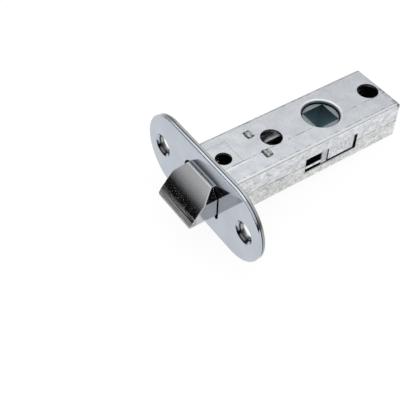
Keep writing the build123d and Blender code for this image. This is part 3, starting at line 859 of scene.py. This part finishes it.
# %% Table finish
def seen_directly(tree):
    """1 for what the camera sees, straight or mirrored in metal, and 0 for scattered light."""
    path = add_node(tree, "ShaderNodeLightPath")
    seen = calculate(tree, "ADD", path.outputs["Is Camera Ray"], path.outputs["Is Glossy Ray"])
    return calculate(tree, "ADD", seen, path.outputs["Is Transmission Ray"])


def black_card(tree):
    """1 on the card, x from 66 to 210 and y from -130 to -15, and 0 for rays that aren't mirrored.

    Its edges are soft, the one nearest the bolt most of all.
    """
    spot = place_in_mm(tree)
    mirrored = add_node(tree, "ShaderNodeLightPath").outputs["Is Glossy Ray"]
    along = both(tree, step(tree, spot["X"], 66.0, 88.0), step(tree, spot["X"], 210.0, 190.0))
    across = both(tree, step(tree, spot["Y"], -15.0, -25.0), step(tree, spot["Y"], -130.0, -110.0))
    return both(tree, along, across, mirrored)


OWN_SHARE = 0.88
OWN_STRENGTH = 1.04
table_paper = bpy.data.materials.new("table_paper")
table_paper.use_nodes = True
tree = table_paper.node_tree
tree.nodes.clear()
fibre = ramp(tree, patches(tree, 30.0, seed=1.0), (0.0, 0.94), (1.0, 0.98))
lit = add_node(tree, "ShaderNodeBsdfDiffuse", {"Color": fibre})
card = both(tree, black_card(tree), 0.96)
paper = blend_colours(tree, card, (1.0, 1.0, 1.0), (0.02, 0.02, 0.02))
own = add_node(tree, "ShaderNodeEmission", {"Color": paper, "Strength": OWN_STRENGTH})
share = calculate(tree, "MULTIPLY", seen_directly(tree), OWN_SHARE)
mixed = add_node(tree, "ShaderNodeMixShader", {0: share, 1: lit.outputs[0], 2: own.outputs[0]})
add_node(tree, "ShaderNodeOutputMaterial", {"Surface": mixed.outputs[0]})
table.data.materials.append(table_paper)
print("table finished")

# %% [markdown]
# The room is a plain studio: a broad soft box overhead, pale walls high up, and a dark band low
# round the sides, because polished metal needs something dark to reflect or it looks like paper.
# The band is broken by a pale wall on the far side, which the case's far bend reflects, and by a
# thin bright strip low in front, which the bolt's nose reflects. The camera sees white all round.


# %% Room
world = bpy.data.worlds.new("studio_room")
bpy.context.scene.world = world
world.use_nodes = True
tree = world.node_tree
tree.nodes.clear()
direction = add_node(tree, "ShaderNodeTexCoord").outputs["Generated"]
parts = add_node(tree, "ShaderNodeSeparateXYZ", {"Vector": direction}).outputs
upwards = step(tree, parts["Z"], -1.0, 1.0)
walls = ramp(
    tree,
    upwards,
    (0.46, 0.80),
    (0.50, 0.010),
    (0.630, 0.010),
    (0.646, 0.14),
    (0.664, 0.35),
    (0.690, 0.56),
    (0.705, 0.68),
    (0.74, 0.76),
    (0.80, 0.86),
    (1.00, 0.90),
)
pale_side = towards(tree, parts, (-0.39, -0.92), 0.55, 0.85)
walls = blend_colours(tree, pale_side, walls, (0.62, 0.63, 0.64))
strip = ramp(tree, upwards, (0.49, 0.0), (0.50, 1.0), (0.512, 0.2), (0.52, 1.0), (0.546, 0.0))
in_front = both(tree, strip, towards(tree, parts, (0.79, -0.61), 0.70, 0.90))
walls = blend_colours(tree, in_front, walls, (0.72, 0.72, 0.72))
path = add_node(tree, "ShaderNodeLightPath")
shown = blend_colours(tree, path.outputs["Is Camera Ray"], walls, (1.0, 1.0, 1.0))
room = add_node(tree, "ShaderNodeBackground", {"Color": shown, "Strength": 1.0})
add_node(tree, "ShaderNodeOutputWorld", {"Surface": room.outputs[0]})


def soft_box(name, place, aim, width, height, watts):
    """A rectangular area lamp at a place in millimetres that faces a point."""
    lamp = bpy.data.lights.new(name, "AREA")
    lamp.shape = "RECTANGLE"
    lamp.size = width * MM
    lamp.size_y = height * MM
    lamp.energy = watts
    made = bpy.data.objects.new(name, lamp)
    made.location = Vector(place) * MM
    facing = Vector(aim) * MM - made.location
    made.rotation_euler = facing.to_track_quat("-Z", "Y").to_euler()
    bpy.context.scene.collection.objects.link(made)
    return made


overhead = soft_box("overhead_box", (-60, -120, 420), (15, 0, 0), 420, 420, 0.42)
print("room lit by its walls and", overhead.name)

# %% [markdown]
# The colours are shown as the shaders give them, with the standard view transform.

# %% View transform
scene = bpy.context.scene
scene.view_settings.view_transform = "Standard"
